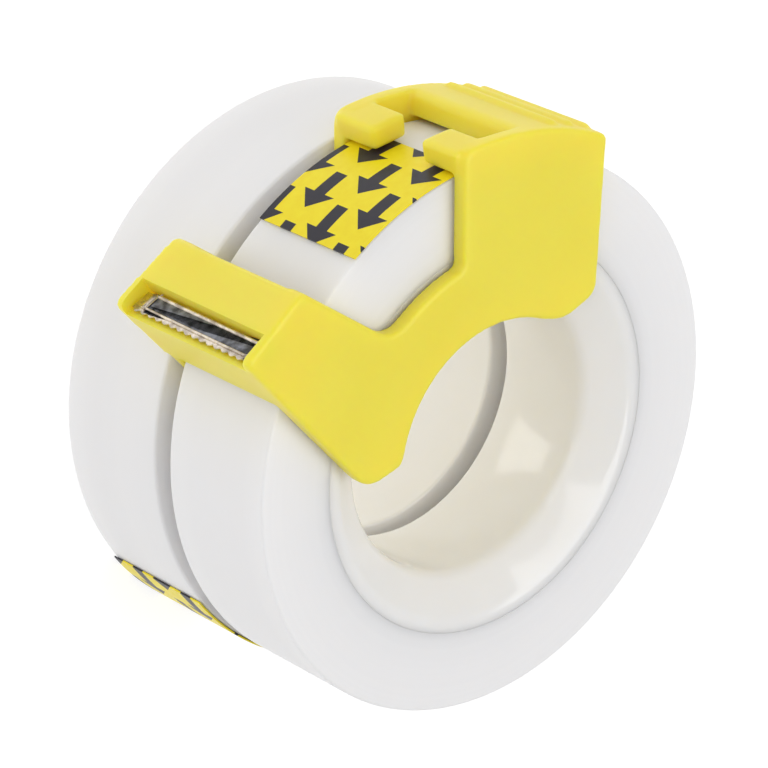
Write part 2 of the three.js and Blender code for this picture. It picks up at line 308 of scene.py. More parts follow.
    @classmethod
    def smooth(cls, piece: bpy.types.Object, degrees: float) -> None:
        """Shades a piece smooth except across edges sharper than an angle."""
        cls.take(piece)
        bpy.ops.object.shade_smooth_by_angle(angle=math.radians(degrees))


# ---------------------------------------------------------------- finishes


class NodeSheet:
    """Node tree of one material, with a short call for each kind of node that it needs."""

    def __init__(self, name: str) -> None:
        """Starts a material with only its shader."""
        self.material = bpy.data.materials.new(name)
        self.material.use_nodes = True
        self.tree = self.material.node_tree
        self.shader = self.tree.nodes["Principled BSDF"]

    def _feed(self, socket: Socket, value: Value) -> None:
        """Sets a socket to a number or links it to another socket."""
        if isinstance(value, bpy.types.NodeSocket):
            self.tree.links.new(value, socket)
        else:
            socket.default_value = value

    def set(self, **values: object) -> None:
        """Sets the shader's own sockets, named with underscores for spaces."""
        for name, value in values.items():
            self._feed(self.shader.inputs[name.replace("_", " ")], value)

    def place(self, offset: Sequence[float] = (0, 0, 0), scale: Sequence[float] = (1, 1, 1)) -> Socket:
        """Object coordinates, moved and then stretched."""
        coordinates = self.tree.nodes.new("ShaderNodeTexCoord")
        mapping = self.tree.nodes.new("ShaderNodeMapping")
        mapping.inputs["Location"].default_value = offset
        mapping.inputs["Scale"].default_value = scale
        self.tree.links.new(coordinates.outputs["Object"], mapping.inputs["Vector"])
        return mapping.outputs["Vector"]

    def map(self, name: str) -> Socket:
        """The piece's own UV map."""
        node = self.tree.nodes.new("ShaderNodeUVMap")
        node.uv_map = name
        return node.outputs["UV"]

    def split(self, vector: Socket) -> tuple[Socket, Socket, Socket]:
        """The three parts of a vector."""
        node = self.tree.nodes.new("ShaderNodeSeparateXYZ")
        self.tree.links.new(vector, node.inputs[0])
        return node.outputs[0], node.outputs[1], node.outputs[2]

    def joined(self, x: Value, y: Value, z: Value) -> Socket:
        """A vector from three parts."""
        node = self.tree.nodes.new("ShaderNodeCombineXYZ")
        for socket, value in zip(node.inputs, (x, y, z)):
            self._feed(socket, value)
        return node.outputs[0]

    def math(self, operation: str, *values: Value) -> Socket:
        """Result of one sum on numbers or sockets."""
        node = self.tree.nodes.new("ShaderNodeMath")
        node.operation = operation
        for socket, value in zip(node.inputs, values):
            self._feed(socket, value)
        return node.outputs[0]

    def noise(self, vector: Socket, scale: float, detail: float) -> Socket:
        """Soft random pattern from nought to one."""
        node = self.tree.nodes.new("ShaderNodeTexNoise")
        node.inputs["Scale"].default_value = scale
        node.inputs["Detail"].default_value = detail
        self.tree.links.new(vector, node.inputs["Vector"])
        return node.outputs["Fac"]

    def spread(
        self, value: Socket, low: float, high: float, start: float = 0.3, end: float = 0.7
    ) -> Socket:
        """Maps a pattern's middle range on to a range of values."""
        node = self.tree.nodes.new("ShaderNodeMapRange")
        self._feed(node.inputs["Value"], value)
        for name, number in (("From Min", start), ("From Max", end), ("To Min", low), ("To Max", high)):
            node.inputs[name].default_value = number
        return node.outputs["Result"]

    def blend(self, share: Value, first: object, second: object) -> Socket:
        """Colour between two others."""
        node = self.tree.nodes.new("ShaderNodeMix")
        node.data_type = "RGBA"
        self._feed(node.inputs["Factor"], share)
        colours = [s for s in node.inputs if s.type == "RGBA"]
        self._feed(colours[0], first)
        self._feed(colours[1], second)
        return next(s for s in node.outputs if s.type == "RGBA")

    def bump(self, height: Socket, depth: float, strength: float) -> None:
        """Raises the surface by a pattern times a depth in metres."""
        node = self.tree.nodes.new("ShaderNodeBump")
        node.inputs["Strength"].default_value = strength
        node.inputs["Distance"].default_value = depth
        self.tree.links.new(height, node.inputs["Height"])
        self.tree.links.new(node.outputs["Normal"], self.shader.inputs["Normal"])


Colour = tuple[float, float, float, float]


@dataclass(frozen=True)
class SatinMoulding:
    """Satin coloured plastic with a fine moulded grain and faint flow marks."""

    name: str = "satin_yellow_moulding"
    colour: Colour = (0.94, 0.785, 0.07, 1)
    flow_colour: Colour = (0.915, 0.745, 0.052, 1)
    roughness: tuple[float, float] = (0.36, 0.46)
    grain_scale: float = 2600
    grain_depth: float = 0.000012
    flow_scale: float = 55

    def make(self) -> bpy.types.Material:
        """The material."""
        sheet = NodeSheet(self.name)
        place = sheet.place()
        flow = sheet.noise(place, self.flow_scale, 3)
        grain = sheet.noise(place, self.grain_scale, 2)
        sheet.set(
            Base_Color=sheet.blend(sheet.spread(flow, 0, 1), self.colour, self.flow_colour),
            Roughness=sheet.spread(flow, *self.roughness),
            Subsurface_Weight=0.7,
            Subsurface_Radius=(1.0, 0.75, 0.06),
            Subsurface_Scale=0.003,
        )
        sheet.bump(grain, self.grain_depth, 0.35)
        return sheet.material


@dataclass(frozen=True)
class WoundFilm:
    """Milky wound film: fine rings on the side faces and faint bands round the outside."""

    axis: tuple[float, float]
    name: str = "wound_film"
    colour: Colour = (0.88, 0.872, 0.876, 1)
    ring_colour: Colour = (0.86, 0.852, 0.86, 1)
    roughness: tuple[float, float] = (0.38, 0.5)
    rings_per_metre: float = 1500
    ring_depth: float = 0.00002

    def make(self) -> bpy.types.Material:
        """The material."""
        sheet = NodeSheet(self.name)
        x, y, z = sheet.split(sheet.place(offset=(-self.axis[0], -self.axis[1], 0)))
        squares = sheet.math("ADD", sheet.math("MULTIPLY", x, x), sheet.math("MULTIPLY", y, y))
        radius = sheet.math("SQRT", squares)
        band = sheet.joined(radius, sheet.math("MULTIPLY", z, 0.15), 0.0)
        rings = sheet.noise(band, self.rings_per_metre, 3)
        cloud = sheet.noise(sheet.place(), 40, 2)
        share = sheet.math("ADD", sheet.spread(rings, 0, 0.6), sheet.spread(cloud, 0, 0.4))
        sheet.set(
            Base_Color=sheet.blend(share, self.colour, self.ring_colour),
            Roughness=sheet.spread(rings, *self.roughness),
            Subsurface_Weight=0.5,
            Subsurface_Radius=(1.0, 0.94, 0.88),
            Subsurface_Scale=0.005,
        )
        sheet.bump(rings, self.ring_depth, 0.4)
        return sheet.material


@dataclass(frozen=True)
class GlossMoulding:
    """Glossy warm white plastic of the cores, with slight sink marks."""

    name: str = "gloss_white_moulding"
    colour: Colour = (0.9, 0.885, 0.868, 1)
    sink_colour: Colour = (0.885, 0.868, 0.848, 1)
    roughness: tuple[float, float] = (0.08, 0.13)
    sink_scale: float = 120

    def make(self) -> bpy.types.Material:
        """The material."""
        sheet = NodeSheet(self.name)
        sinks = sheet.noise(sheet.place(), self.sink_scale, 2)
        sheet.set(
            Base_Color=sheet.blend(sheet.spread(sinks, 0, 1), self.colour, self.sink_colour),
            Roughness=sheet.spread(sinks, *self.roughness),
            Subsurface_Weight=0.5,
            Subsurface_Radius=(1.0, 0.92, 0.82),
            Subsurface_Scale=0.003,
        )
        sheet.bump(sinks, 0.00004, 0.3)
        return sheet.material


@dataclass(frozen=True)
class ArrowPrint:
    """Film printed with rows of arrows, in millimetres on the tab's own map."""

    map_name: str
    name: str = "arrow_print"
    ground: Colour = (0.95, 0.79, 0.012, 1)
    ink: Colour = (0.026, 0.024, 0.035, 1)
    row_pitch: float = 9.18
    column_pitch: float = 9.9
    head_length: float = 2.7
    arrow_length: float = 6.65
    shaft_half_width: float = 1.0
    first_rows: tuple[tuple[float, float], ...] = ((5.0, 6.42), (0.1, 1.75))

    def _arrows(self, sheet: NodeSheet, along: Socket, across: Socket, column: float, tip: float) -> Socket:
        """One set of arrows: one where it is inked and nought elsewhere."""
        behind = sheet.math("FLOORED_MODULO", sheet.math("SUBTRACT", tip, along), self.row_pitch)
        half = self.column_pitch / 2
        shifted = sheet.math("ADD", across, half - column)
        aside = sheet.math("ABSOLUTE", sheet.math(
            "SUBTRACT", sheet.math("FLOORED_MODULO", shifted, self.column_pitch), half))
        head = sheet.math("MULTIPLY", sheet.math("LESS_THAN", behind, self.head_length),
                          sheet.math("LESS_THAN", aside, behind))
        shaft = sheet.math("MULTIPLY", sheet.math("LESS_THAN", behind, self.arrow_length),
                           sheet.math("LESS_THAN", aside, self.shaft_half_width))
        beyond = sheet.math("MULTIPLY", shaft, sheet.math("GREATER_THAN", behind, self.head_length / 2))
        return sheet.math("MAXIMUM", head, beyond)

    def make(self) -> bpy.types.Material:
        """The material."""
        sheet = NodeSheet(self.name)
        along, across, _ = sheet.split(sheet.map(self.map_name))
        sets = [self._arrows(sheet, along, across, *first) for first in self.first_rows]
        inked = sheet.math("MAXIMUM", *sets)
        tone = sheet.noise(sheet.place(), 900, 3)
        ground = sheet.blend(sheet.spread(tone, 0, 1), self.ground, (0.92, 0.74, 0.01, 1))
        sheet.set(
            Base_Color=sheet.blend(inked, ground, self.ink),
            Roughness=sheet.spread(tone, 0.34, 0.44),
            Specular_IOR_Level=0.3,
        )
        sheet.bump(tone, 0.000008, 0.3)
        return sheet.material


@dataclass(frozen=True)
class PressedSteel:
    """Pressed steel: fine lines from the press and a mottle of two tones: real stains on the bright steel,
    painted reflection of dark surroundings on the dark tray steel.
    """

    name: str
    light: Colour
    dark: Colour
    roughness: tuple[float, float]
    stain_and_mottle_scale: float = 900

    def make(self) -> bpy.types.Material:
        """The material."""
        sheet = NodeSheet(self.name)
        # Two-tone mottle: stains on the bright steel, painted reflection on the dark tray steel
        stain_and_reflection_mottle = sheet.noise(sheet.place(), self.stain_and_mottle_scale, 5)
        lines = sheet.noise(sheet.place(scale=(1, 1, 0.08)), 9000, 1)
        sheet.set(
            Base_Color=sheet.blend(sheet.spread(stain_and_reflection_mottle, 0, 1, 0.38, 0.62), self.light, self.dark),
            Metallic=1.0,
            Roughness=sheet.spread(stain_and_reflection_mottle, *self.roughness),
        )
        sheet.bump(lines, 0.000006, 0.3)
        return sheet.material


# ---------------------------------------------------------------- rolls of tape


@dataclass
class TapeRoll:
    """One roll: wound film on its core, with a printed tab on the free end."""

    prefix: str
    body: Body
    base: float
    tab_start: float
    axis: Vector
    turned_over: bool = False
    width: float = 18
    radius: float = 36.5
    core_radius: float = 26
    bore_radius: float = 19.1
    winding_clearance: float = 0.02
    edge_round: float = 0.45
    seam_round: float = 0.05
    core_inset: float = 0.03
    rim_width: float = 1.4
    dish_depth: float = 3.1
    bore_chamfer: float = 0.6
    mouth_round: float = 1.4
    foot_round: float = 0.5
    tab_arc: float = 30
    tab_standoff: float = 0.1
    tab_thickness: float = 0.2
    tab_side_inset: float = 0.1
    facets: int = 180
    map_name: str = "print"

    def _profile(self, corners: Sequence[tuple[float, float, float]]) -> list[tuple[float, float]]:
        """Closed profile from corners (radius, height, rounding)."""
        outline = rounded_outline([(Vector((r, z)), size) for r, z, size in corners])
        return [(p.x, p.y + self.base) for p in outline]

    def winding(self) -> bpy.types.Object:
        """The wound film, a ring with slightly rounded edges."""
        inner = self.core_radius + self.winding_clearance
        corners = [
            (inner, 0, self.seam_round), (self.radius, 0, self.edge_round),
            (self.radius, self.width, self.edge_round), (inner, self.width, self.seam_round)]
        return Workbench.turned(f"{self.prefix}film", self._profile(corners), self.facets)

    def core(self) -> bpy.types.Object:
        """The core: flat on one side and dished from a flat rim down to the bore on the other."""
        top = self.width - self.core_inset
        corners = [
            (self.bore_radius, self.core_inset, self.foot_round),
            (self.core_radius, self.core_inset, self.seam_round),
            (self.core_radius, top, self.seam_round),
            (self.core_radius - self.rim_width, top, 1.0),
            (self.bore_radius, self.width - self.dish_depth - self.bore_chamfer, self.mouth_round),
        ]
        if self.turned_over:
            corners = [(radius, self.width - height, size) for radius, height, size in reversed(corners)]
        return Workbench.turned(f"{self.prefix}core", self._profile(corners), self.facets)

    def tab(self) -> bpy.types.Object:
        """The printed tab, with its print laid out in millimetres on its own map."""
        inner = self.radius + self.tab_standoff
        outer = inner + self.tab_thickness
        end = self.tab_start + self.tab_arc
        outline = arc(inner, self.tab_start, end, 1) + arc(outer, end, self.tab_start, 1)
        low, high = self.base + self.tab_side_inset, self.base + self.width - self.tab_side_inset
        piece = Workbench.plate(f"{self.prefix}arrow_tab", outline, low, high)
        layer = piece.data.uv_layers.new(name=self.map_name)
        per_degree = outer * math.radians(1)
        for corner in piece.data.loops:
            place = piece.data.vertices[corner.vertex_index].co
            bearing = bearing_of(place) % 360
            layer.data[corner.index].uv = (
                (bearing - self.tab_start) * per_degree, place.z - self.base)
        return piece

    def build(self, film: bpy.types.Material, core: bpy.types.Material, tab: bpy.types.Material) -> None:
        """Makes the roll's pieces and sets them on their body."""
        jobs = [
            (self.winding(), film, Slot.FILM, "wound_tape"),
            (self.core(), core, Slot.CORE, "tape_core"),
            (self.tab(), tab, Slot.TAB, "leader_tab"),
        ]
        for piece, material, slot, node in jobs:
            finish(piece, self.axis, material, self.body, self.prefix + node)


# ---------------------------------------------------------------- clip


@dataclass
class Finger:
    """Hold-down finger: the bearings it spans and its reach from the cheek's outer face."""

    bearings: tuple[float, float]
    length: float


@dataclass(frozen=True)
class CheekRounding:
    """Rounding sizes of a cheek's corners, named as one goes round its outline."""

    crest: float = 0.8
    notch_entry: float = 3.0
    notch_corner: float = 0.8
    bridge_start: float = 1.8
    bridge_end: float = 0.7
    lobe: float = 1.6
    lobe_root: float = 1.8
    long_lobe_root: float = 0.8
    long_lobe: float = 2.4
    front: float = 1.3


@dataclass
class DispenserClip:
    """The moulded clip: two cheeks, head, bridge with grip ridges, fingers and lips."""

    axis: Vector
    base: float = 18.5
    top: float = 41.3
    roll_radius: float = 36.5
    core_radius: float = 26
    bore_radius: float = 19.1
    roll_clearance: float = 0.7
    lip_clearance: float = 0.4
    cheek_thickness: float = 2.1
    bridge_thickness: float = 3.2
    lip_thickness: float = 2.5
    lip_reach: float = 7.5
    head_wall: float = 1.9
    head_flare: float = 1.35
    flare_start: float = 22.4
    crest: Point = field(default_factory=lambda: at(43.5, 138.2))
    front: Point = field(default_factory=lambda: at(47.25, 151.7))
    long_lobe: Point = field(default_factory=lambda: at(21.9, 179.5))
    notch_radius: float = 25.7
    notch_bearings: tuple[float, ...] = (133.5, 127, 107, 104.9)
    lower_notch_lead: float = 1.6
    rounding: CheekRounding = CheekRounding()
    bridge_bearings: tuple[float, float] = (65.2, 86)
    bridge_arc_trim: float = 3
    bridge_front_trim: float = 2.4
    bridge_front_round: float = 1.5
    bridge_inset: float = 1
    upper_finger: Finger = field(default_factory=lambda: Finger((93.3, 100.5), 7.6))
    lower_finger: Finger = field(default_factory=lambda: Finger((94.5, 102.5), 8.1))
    lobe: Point = field(default_factory=lambda: at(22.4, 45.5))
    lobe_root: Point = field(default_factory=lambda: at(17.2, 53.2))
    long_lobe_root: Point = field(default_factory=lambda: at(16.5, 173.9))
    lip_bearings: tuple[float, float] = (66, 168)
    ridge_bearings: tuple[float, ...] = (76.6, 72.4, 68.2)
    ridge_radius: float = 0.95
    ridge_proud: float = 0.6
    ridge_margin: float = 1.6
    blade_overhang: float = 2.2
    blade_front: float = 0.9
    blade_depth: float = 3.2
    blade_front_drop: float = 1.2
    blade_rear_drop: float = 1.75
    blade_thickness: float = 0.4
    seat_clearance: float = 0.3
    recess_clearance: float = 0.35
    seat_floor: float = 1.3
    tape_low: float = 20.9
    tape_high: float = 38.9
    grid: float = 0.3
    relax_passes: int = 4
    crease: float = 38

    def __post_init__(self) -> None:
        """Works out the radii and directions that follow from the sizes."""
        self.inner_radius = self.roll_radius + self.roll_clearance
        self.outer_radius = self.inner_radius + self.bridge_thickness
        self.lip_outer = self.bore_radius - self.lip_clearance
        self.lip_inner = self.lip_outer - self.lip_thickness
        self.along = (self.crest - self.front).normalized()
        self.down = Vector((self.along.y, -self.along.x))
        self.chin = (self.long_lobe - self.front).normalized()

    def on_head(self, along: float, down: float) -> Point:
        """Point of the head's section, along the roof from its front edge and down from it."""
        return self.front + self.along * along + self.down * down

    def on_chin(self, inward: float, down: float) -> Point:
        """Point of the head's section, inward of the chin's outer face."""
        slope = self.chin.dot(self.along) / self.chin.dot(self.down)
        return self.on_head(slope * down + inward, down)

    def on_blade(self, along: float, up: float) -> Point:
        """Point of the head's section, up from the blade's sloping plate."""
        share = (along - self.blade_front) / self.blade_depth
        drop = self.blade_front_drop + (self.blade_rear_drop - self.blade_front_drop) * share
        return self.on_head(along, drop - up)

    def _cheek_outline(self, lead: float) -> Outline:
        """Outline of a cheek whose notch ends a lead further round than the upper one's."""
        side = at(self.notch_radius, self.notch_bearings[3]).x - lead
        size, trim = self.rounding, self.bridge_arc_trim

        def on_side(radius: float) -> Point:
            """Point of the notch's straight side at a radius."""
            return Vector((side, math.sqrt(radius**2 - side**2)))

        corner, start = on_side(self.notch_radius), on_side(self.outer_radius)
        floor_end = bearing_of(corner) + self.notch_bearings[2] - self.notch_bearings[3]
        floor = arc(self.notch_radius, self.notch_bearings[1], floor_end)
        top = arc(self.outer_radius, bearing_of(start) - trim, self.bridge_bearings[0] + trim)
        bridge_end = at(self.outer_radius, self.bridge_bearings[0])
        lip = arc(self.lip_inner, *self.lip_bearings)
        notch = at(self.notch_radius, self.notch_bearings[0])
        return [
            *rounded(self.front, self.crest, notch, size.crest),
            *rounded(self.crest, notch, floor[0], size.notch_entry),
            *floor,
            *rounded(floor[-1], corner, start, size.notch_corner),
            *rounded(corner, start, top[0], size.bridge_start),
            *top,
            *rounded(top[-1], bridge_end, self.lobe, size.bridge_end),
            *rounded(bridge_end, self.lobe, self.lobe_root, size.lobe),
            *rounded(self.lobe, self.lobe_root, lip[0], size.lobe_root),
            *lip,
            *rounded(lip[-1], self.long_lobe_root, self.long_lobe, size.long_lobe_root),
            *rounded(self.long_lobe_root, self.long_lobe, self.front, size.long_lobe),
            *rounded(self.long_lobe, self.front, self.crest, size.front),
        ]

    def _leaned(self, piece: bpy.types.Object) -> bpy.types.Object:
        """Leans a piece's side faces out towards the head's front edge."""
        Workbench.fold(piece, -self.flare_start)
        middle, half = (self.base + self.top) / 2, (self.top - self.base) / 2
        for vertex in piece.data.vertices:
            aside = vertex.co.z - middle
            along = (-vertex.co.x - self.flare_start) / (-self.front.x - self.flare_start)
            depth = (abs(aside) - half) / self.cheek_thickness + 1
            lean = self.head_flare * max(along, 0) * min(max(depth, 0), 1)
            vertex.co.z += math.copysign(lean, aside)
        return piece

    def _cheeks(self) -> list[bpy.types.Object]:
        """The two cheeks, with their outer faces' edges softened."""
        upper_face = self.top - self.cheek_thickness
        upper = Workbench.plate("upper_cheek", self._cheek_outline(0), upper_face, self.top)
        lower = Workbench.plate(
            "lower_cheek", self._cheek_outline(self.lower_notch_lead), self.base,
            self.base + self.cheek_thickness)
        Workbench.soften(upper, lambda face: face.normal.z > 0.9, 0.4)
        Workbench.soften(lower, lambda face: face.normal.z < -0.9, 0.4)
        return [self._leaned(upper), lower]

    def _lower_flare(self) -> bpy.types.Object:
        """The part of the lower cheek that leans out: only what is clear of the spare roll."""
        notch = at(self.notch_radius, self.notch_bearings[0])
        chin_side = crossing(self.long_lobe, self.front, self.inner_radius)
        roof_side = crossing(notch, self.crest, self.inner_radius)
        first, last = bearing_of(roof_side), bearing_of(chin_side)
        outline = [
            *rounded(self.front, self.crest, roof_side, self.rounding.crest),
            *arc(self.inner_radius, first, last),
            *rounded(chin_side, self.front, self.crest, self.rounding.front),
        ]
        flare = Workbench.plate("lower_flare", outline, self.base, self.base + self.cheek_thickness)
        return self._leaned(flare)

    def _head(self) -> bpy.types.Object:
        """The head's roof, blade seat and chin."""
        roof_length = (self.crest - self.front).length
        seat = self.blade_rear_drop + self.blade_thickness + self.seat_clearance + self.seat_floor
        seat_length = self.blade_front + self.blade_depth + self.recess_clearance + self.seat_floor
        chin_length = self.front.length - self.inner_radius + self.head_wall
        corners = [
            (self.front, self.rounding.front),
            (self.crest, self.rounding.crest),
            (self.on_head(roof_length, self.head_wall), 0),
            (self.on_head(seat_length + self.seat_floor, self.head_wall), 0),
            (self.on_head(seat_length, seat), 0),
            (self.on_chin(self.head_wall, seat), 0),
            (self.on_chin(self.head_wall, chin_length), 0),
            (self.on_chin(0, chin_length), 0),
        ]
        head = Workbench.plate("head", rounded_outline(corners), self.base, self.top)
        Workbench.soften(head, lambda face: abs(face.normal.z) > 0.9, 0.5)
        self._leaned(head)
        Workbench.clear()
        bpy.ops.mesh.primitive_cylinder_add(
            vertices=240, radius=self.inner_radius, depth=3 * self.top, location=(0, 0, self.top / 2))
        return Workbench.cut(head, bpy.context.active_object)

    def _recess(self) -> bpy.types.Object:
        """Cutter for the blade's recess: open to the front, shut on the other sides."""
        floor = -self.blade_thickness - self.seat_clearance
        rear = self.blade_front + self.blade_depth + self.recess_clearance
        margin = self.blade_overhang + self.recess_clearance
        outline = [
            self.on_head(-self.blade_depth, -self.head_wall),
            self.on_head(rear + 0.5, -self.head_wall),
            self.on_head(rear + 0.1, 0.3),
            self.on_blade(rear, floor),
            self.on_blade(-self.blade_depth, floor),
        ]
        return Workbench.plate("recess", outline, self.tape_low - margin, self.tape_high + margin)

    def _bridge(self) -> list[bpy.types.Object]:
        """The bridge between the cheeks, with a rounded front, and its grip ridges."""
        first, last = self.bridge_bearings
        outer = arc(self.outer_radius, first, last - self.bridge_front_trim)
        inner = arc(self.inner_radius, last, first)
        front = rounded(outer[-1], at(self.outer_radius, last), inner[0], self.bridge_front_round)
        low, high = self.base + self.bridge_inset, self.top - self.bridge_inset
        bridge = Workbench.plate("bridge", [*outer, *front, *inner], low, high)
        ridges = []
        length = self.top - self.base - 2 * self.ridge_margin
        for bearing in self.ridge_bearings:
            place = at(self.outer_radius + self.ridge_proud - self.ridge_radius, bearing)
            Workbench.clear()
            bpy.ops.mesh.primitive_cylinder_add(
                vertices=24, radius=self.ridge_radius, depth=length,
                location=(place.x, place.y, (self.base + self.top) / 2))
            ridge = bpy.context.active_object
            bpy.ops.object.transform_apply(location=True)
            ridges.append(Workbench.soften(ridge, lambda face: abs(face.normal.z) > 0.9, 0.6))
        return [bridge, *ridges]

    def _fingers(self) -> list[bpy.types.Object]:
        """The hold-down fingers, with rounded free ends."""
        made = []
        for name, finger, way in (("upper", self.upper_finger, -1), ("lower", self.lower_finger, 1)):
            first, last = finger.bearings
            corners = [(at(self.inner_radius, last), 0.5), (at(self.inner_radius, first), 0.5),
                       (at(self.outer_radius, first), 0.8), (at(self.outer_radius, last), 0.8)]
            cheek = self.top if way < 0 else self.base
            reach = cheek + way * finger.length
            root = cheek + way * 1.0
            outline = rounded_outline(corners)
            piece = Workbench.plate(f"{name}_finger", outline, min(reach, root), max(reach, root))
            Workbench.soften(piece, lambda face, way=way: face.normal.z * way > 0.9, 0.7)
            made.append(piece)
        return made

    def _lips(self) -> list[bpy.types.Object]:
        """Curved lips that carry the core, one on each cheek."""
        first, last = self.lip_bearings
        outline = arc(self.lip_inner, first, last) + arc(self.lip_outer, last, first)
        half = self.cheek_thickness / 2
        upper = Workbench.plate("upper_lip", outline, self.tape_high - self.lip_reach, self.top - half)
        lower = Workbench.plate("lower_lip", outline, self.base + half, self.tape_low + self.lip_reach)
        return [upper, lower]

    def build(self, material: bpy.types.Material) -> None:
        """Makes the clip as one moulding and sets it on its body."""
        parts = [
            *self._cheeks(), self._lower_flare(), self._head(), *self._bridge(), *self._fingers(),
            *self._lips(),
        ]
        clip = Workbench.joined("moulded_clip", parts)
        Workbench.moulded(clip, self.grid, self.relax_passes)
        Workbench.cut(clip, self._recess())
        finish(clip, self.axis, material, Body.CLIP, "dispenser_clip", self.crease)


@dataclass
class CutterBlade:
    """The pressed cutter: a row of teeth in front of a shallow tray."""

    clip: DispenserClip
    teeth: int = 16
    tooth_depth: float = 0.42
    sheet: float = 0.3
    tray_start: float = 0.62
    tray_margins: tuple[float, float] = (0.15, 1.3)
    rim_width: float = 0.3
    end_rim_width: float = 0.8
    rim_height: float = 0.22
    edge: float = 0.07
    rim_edge: float = 0.09
    sheet_drop: float = 0.08
    rear_margin: float = 0.1
    tip_inset: float = 0.08
    tip_half_width: float = 0.1
    root_step: float = 0.04
    tray_round: float = 0.35
    tray_wall: float = 0.12

    def _frame(self) -> Matrix:
        """Place of the blade: X from the tooth tips to the rear rim, Z up from the plate."""
        clip = self.clip
        tips = clip.on_blade(clip.blade_front, 0)
        rear = clip.on_blade(clip.blade_front + clip.blade_depth, 0)
        along = Vector((*(rear - tips).normalized(), 0))
        up = Vector((-along.y, along.x, 0))
        across = up.cross(along)
        middle = (clip.tape_low + clip.tape_high) / 2
        turn = Matrix((along, across, up)).transposed().to_4x4()
        return Matrix.Translation((tips.x, tips.y, middle)) @ turn

    def _sizes(self) -> tuple[float, float]:
        """Length from tips to rear and half the width."""
        clip = self.clip
        rise = clip.blade_rear_drop - clip.blade_front_drop
        half = (clip.tape_high - clip.tape_low) / 2 + clip.blade_overhang
        return math.hypot(clip.blade_depth, rise), half

    def _toothed_sheet(self) -> bpy.types.Object:
        """The sheet with its row of teeth."""
        length, half = self._sizes()
        pitch = 2 * half / self.teeth
        rear = length - self.rear_margin
        outline: Outline = [Vector((rear, -half)), Vector((rear, half))]
        for i in range(self.teeth):
            high = half - i * pitch
            outline += [Vector((self.tooth_depth, high - self.root_step * (i > 0))),
                        Vector((self.tip_inset, high - pitch / 2 + self.tip_half_width)),
                        Vector((self.tip_inset, high - pitch / 2 - self.tip_half_width))]
        outline.append(Vector((self.tooth_depth, -half)))
        piece = Workbench.plate("toothed_sheet", outline, -self.sheet - self.sheet_drop, -self.sheet_drop)
        return Workbench.soften(piece, lambda face: face.normal.z > 0.9, self.edge, 2)

    def _tray(self) -> bpy.types.Object:
        """The tray: a block whose top is inset and pushed down to leave a rim."""
        length, half = self._sizes()
        low, high = self.tray_margins[0] - half, half - self.tray_margins[1]
        corners = [Vector((self.tray_start, low)), Vector((length, low)), Vector((length, high)),
                   Vector((self.tray_start, high))]
        outline = rounded_outline([(corner, self.tray_round) for corner in corners])
        tray = Workbench.plate("tray", outline, -self.sheet - self.sheet_drop, self.rim_height)
        Workbench.pick_faces(tray, lambda face: face.normal.z > 0.9)
        bpy.ops.mesh.inset(thickness=self.rim_width, depth=0)
        ends = (high - low - 2 * self.end_rim_width) / (high - low - 2 * self.rim_width)
        bpy.ops.transform.resize(value=(1, ends, 1))
        bpy.ops.mesh.inset(thickness=self.tray_wall, depth=-self.rim_height)
        bpy.ops.mesh.select_mode(type="VERT")
        Workbench.done()
        rim_top = self.rim_height - 0.01
        return Workbench.soften(
            tray, lambda face: face.normal.z > 0.9 and face.center.z > rim_top, self.rim_edge, 2)

    def build(self, bright: bpy.types.Material, tray_floor: bpy.types.Material) -> None:
        """Makes the blade, with its own finish on the tray's floor, whose near-black colour is painted
        reflection, and sets it on the clip's body.
        """
        blade = Workbench.joined("steel_cutter", [self._toothed_sheet(), self._tray()])
        floor = [
            face.index for face in blade.data.polygons
            if face.normal.z > 0.9 and abs(face.center.z) < self.rim_height / 4
        ]
        blade.data.transform(self._frame())
        finish(blade, self.clip.axis, bright, Body.CLIP, "cutter_blade")
        blade.data.materials.append(tray_floor)
        for index in floor:
            blade.data.polygons[index].material_index = 1


# ---------------------------------------------------------------- studio


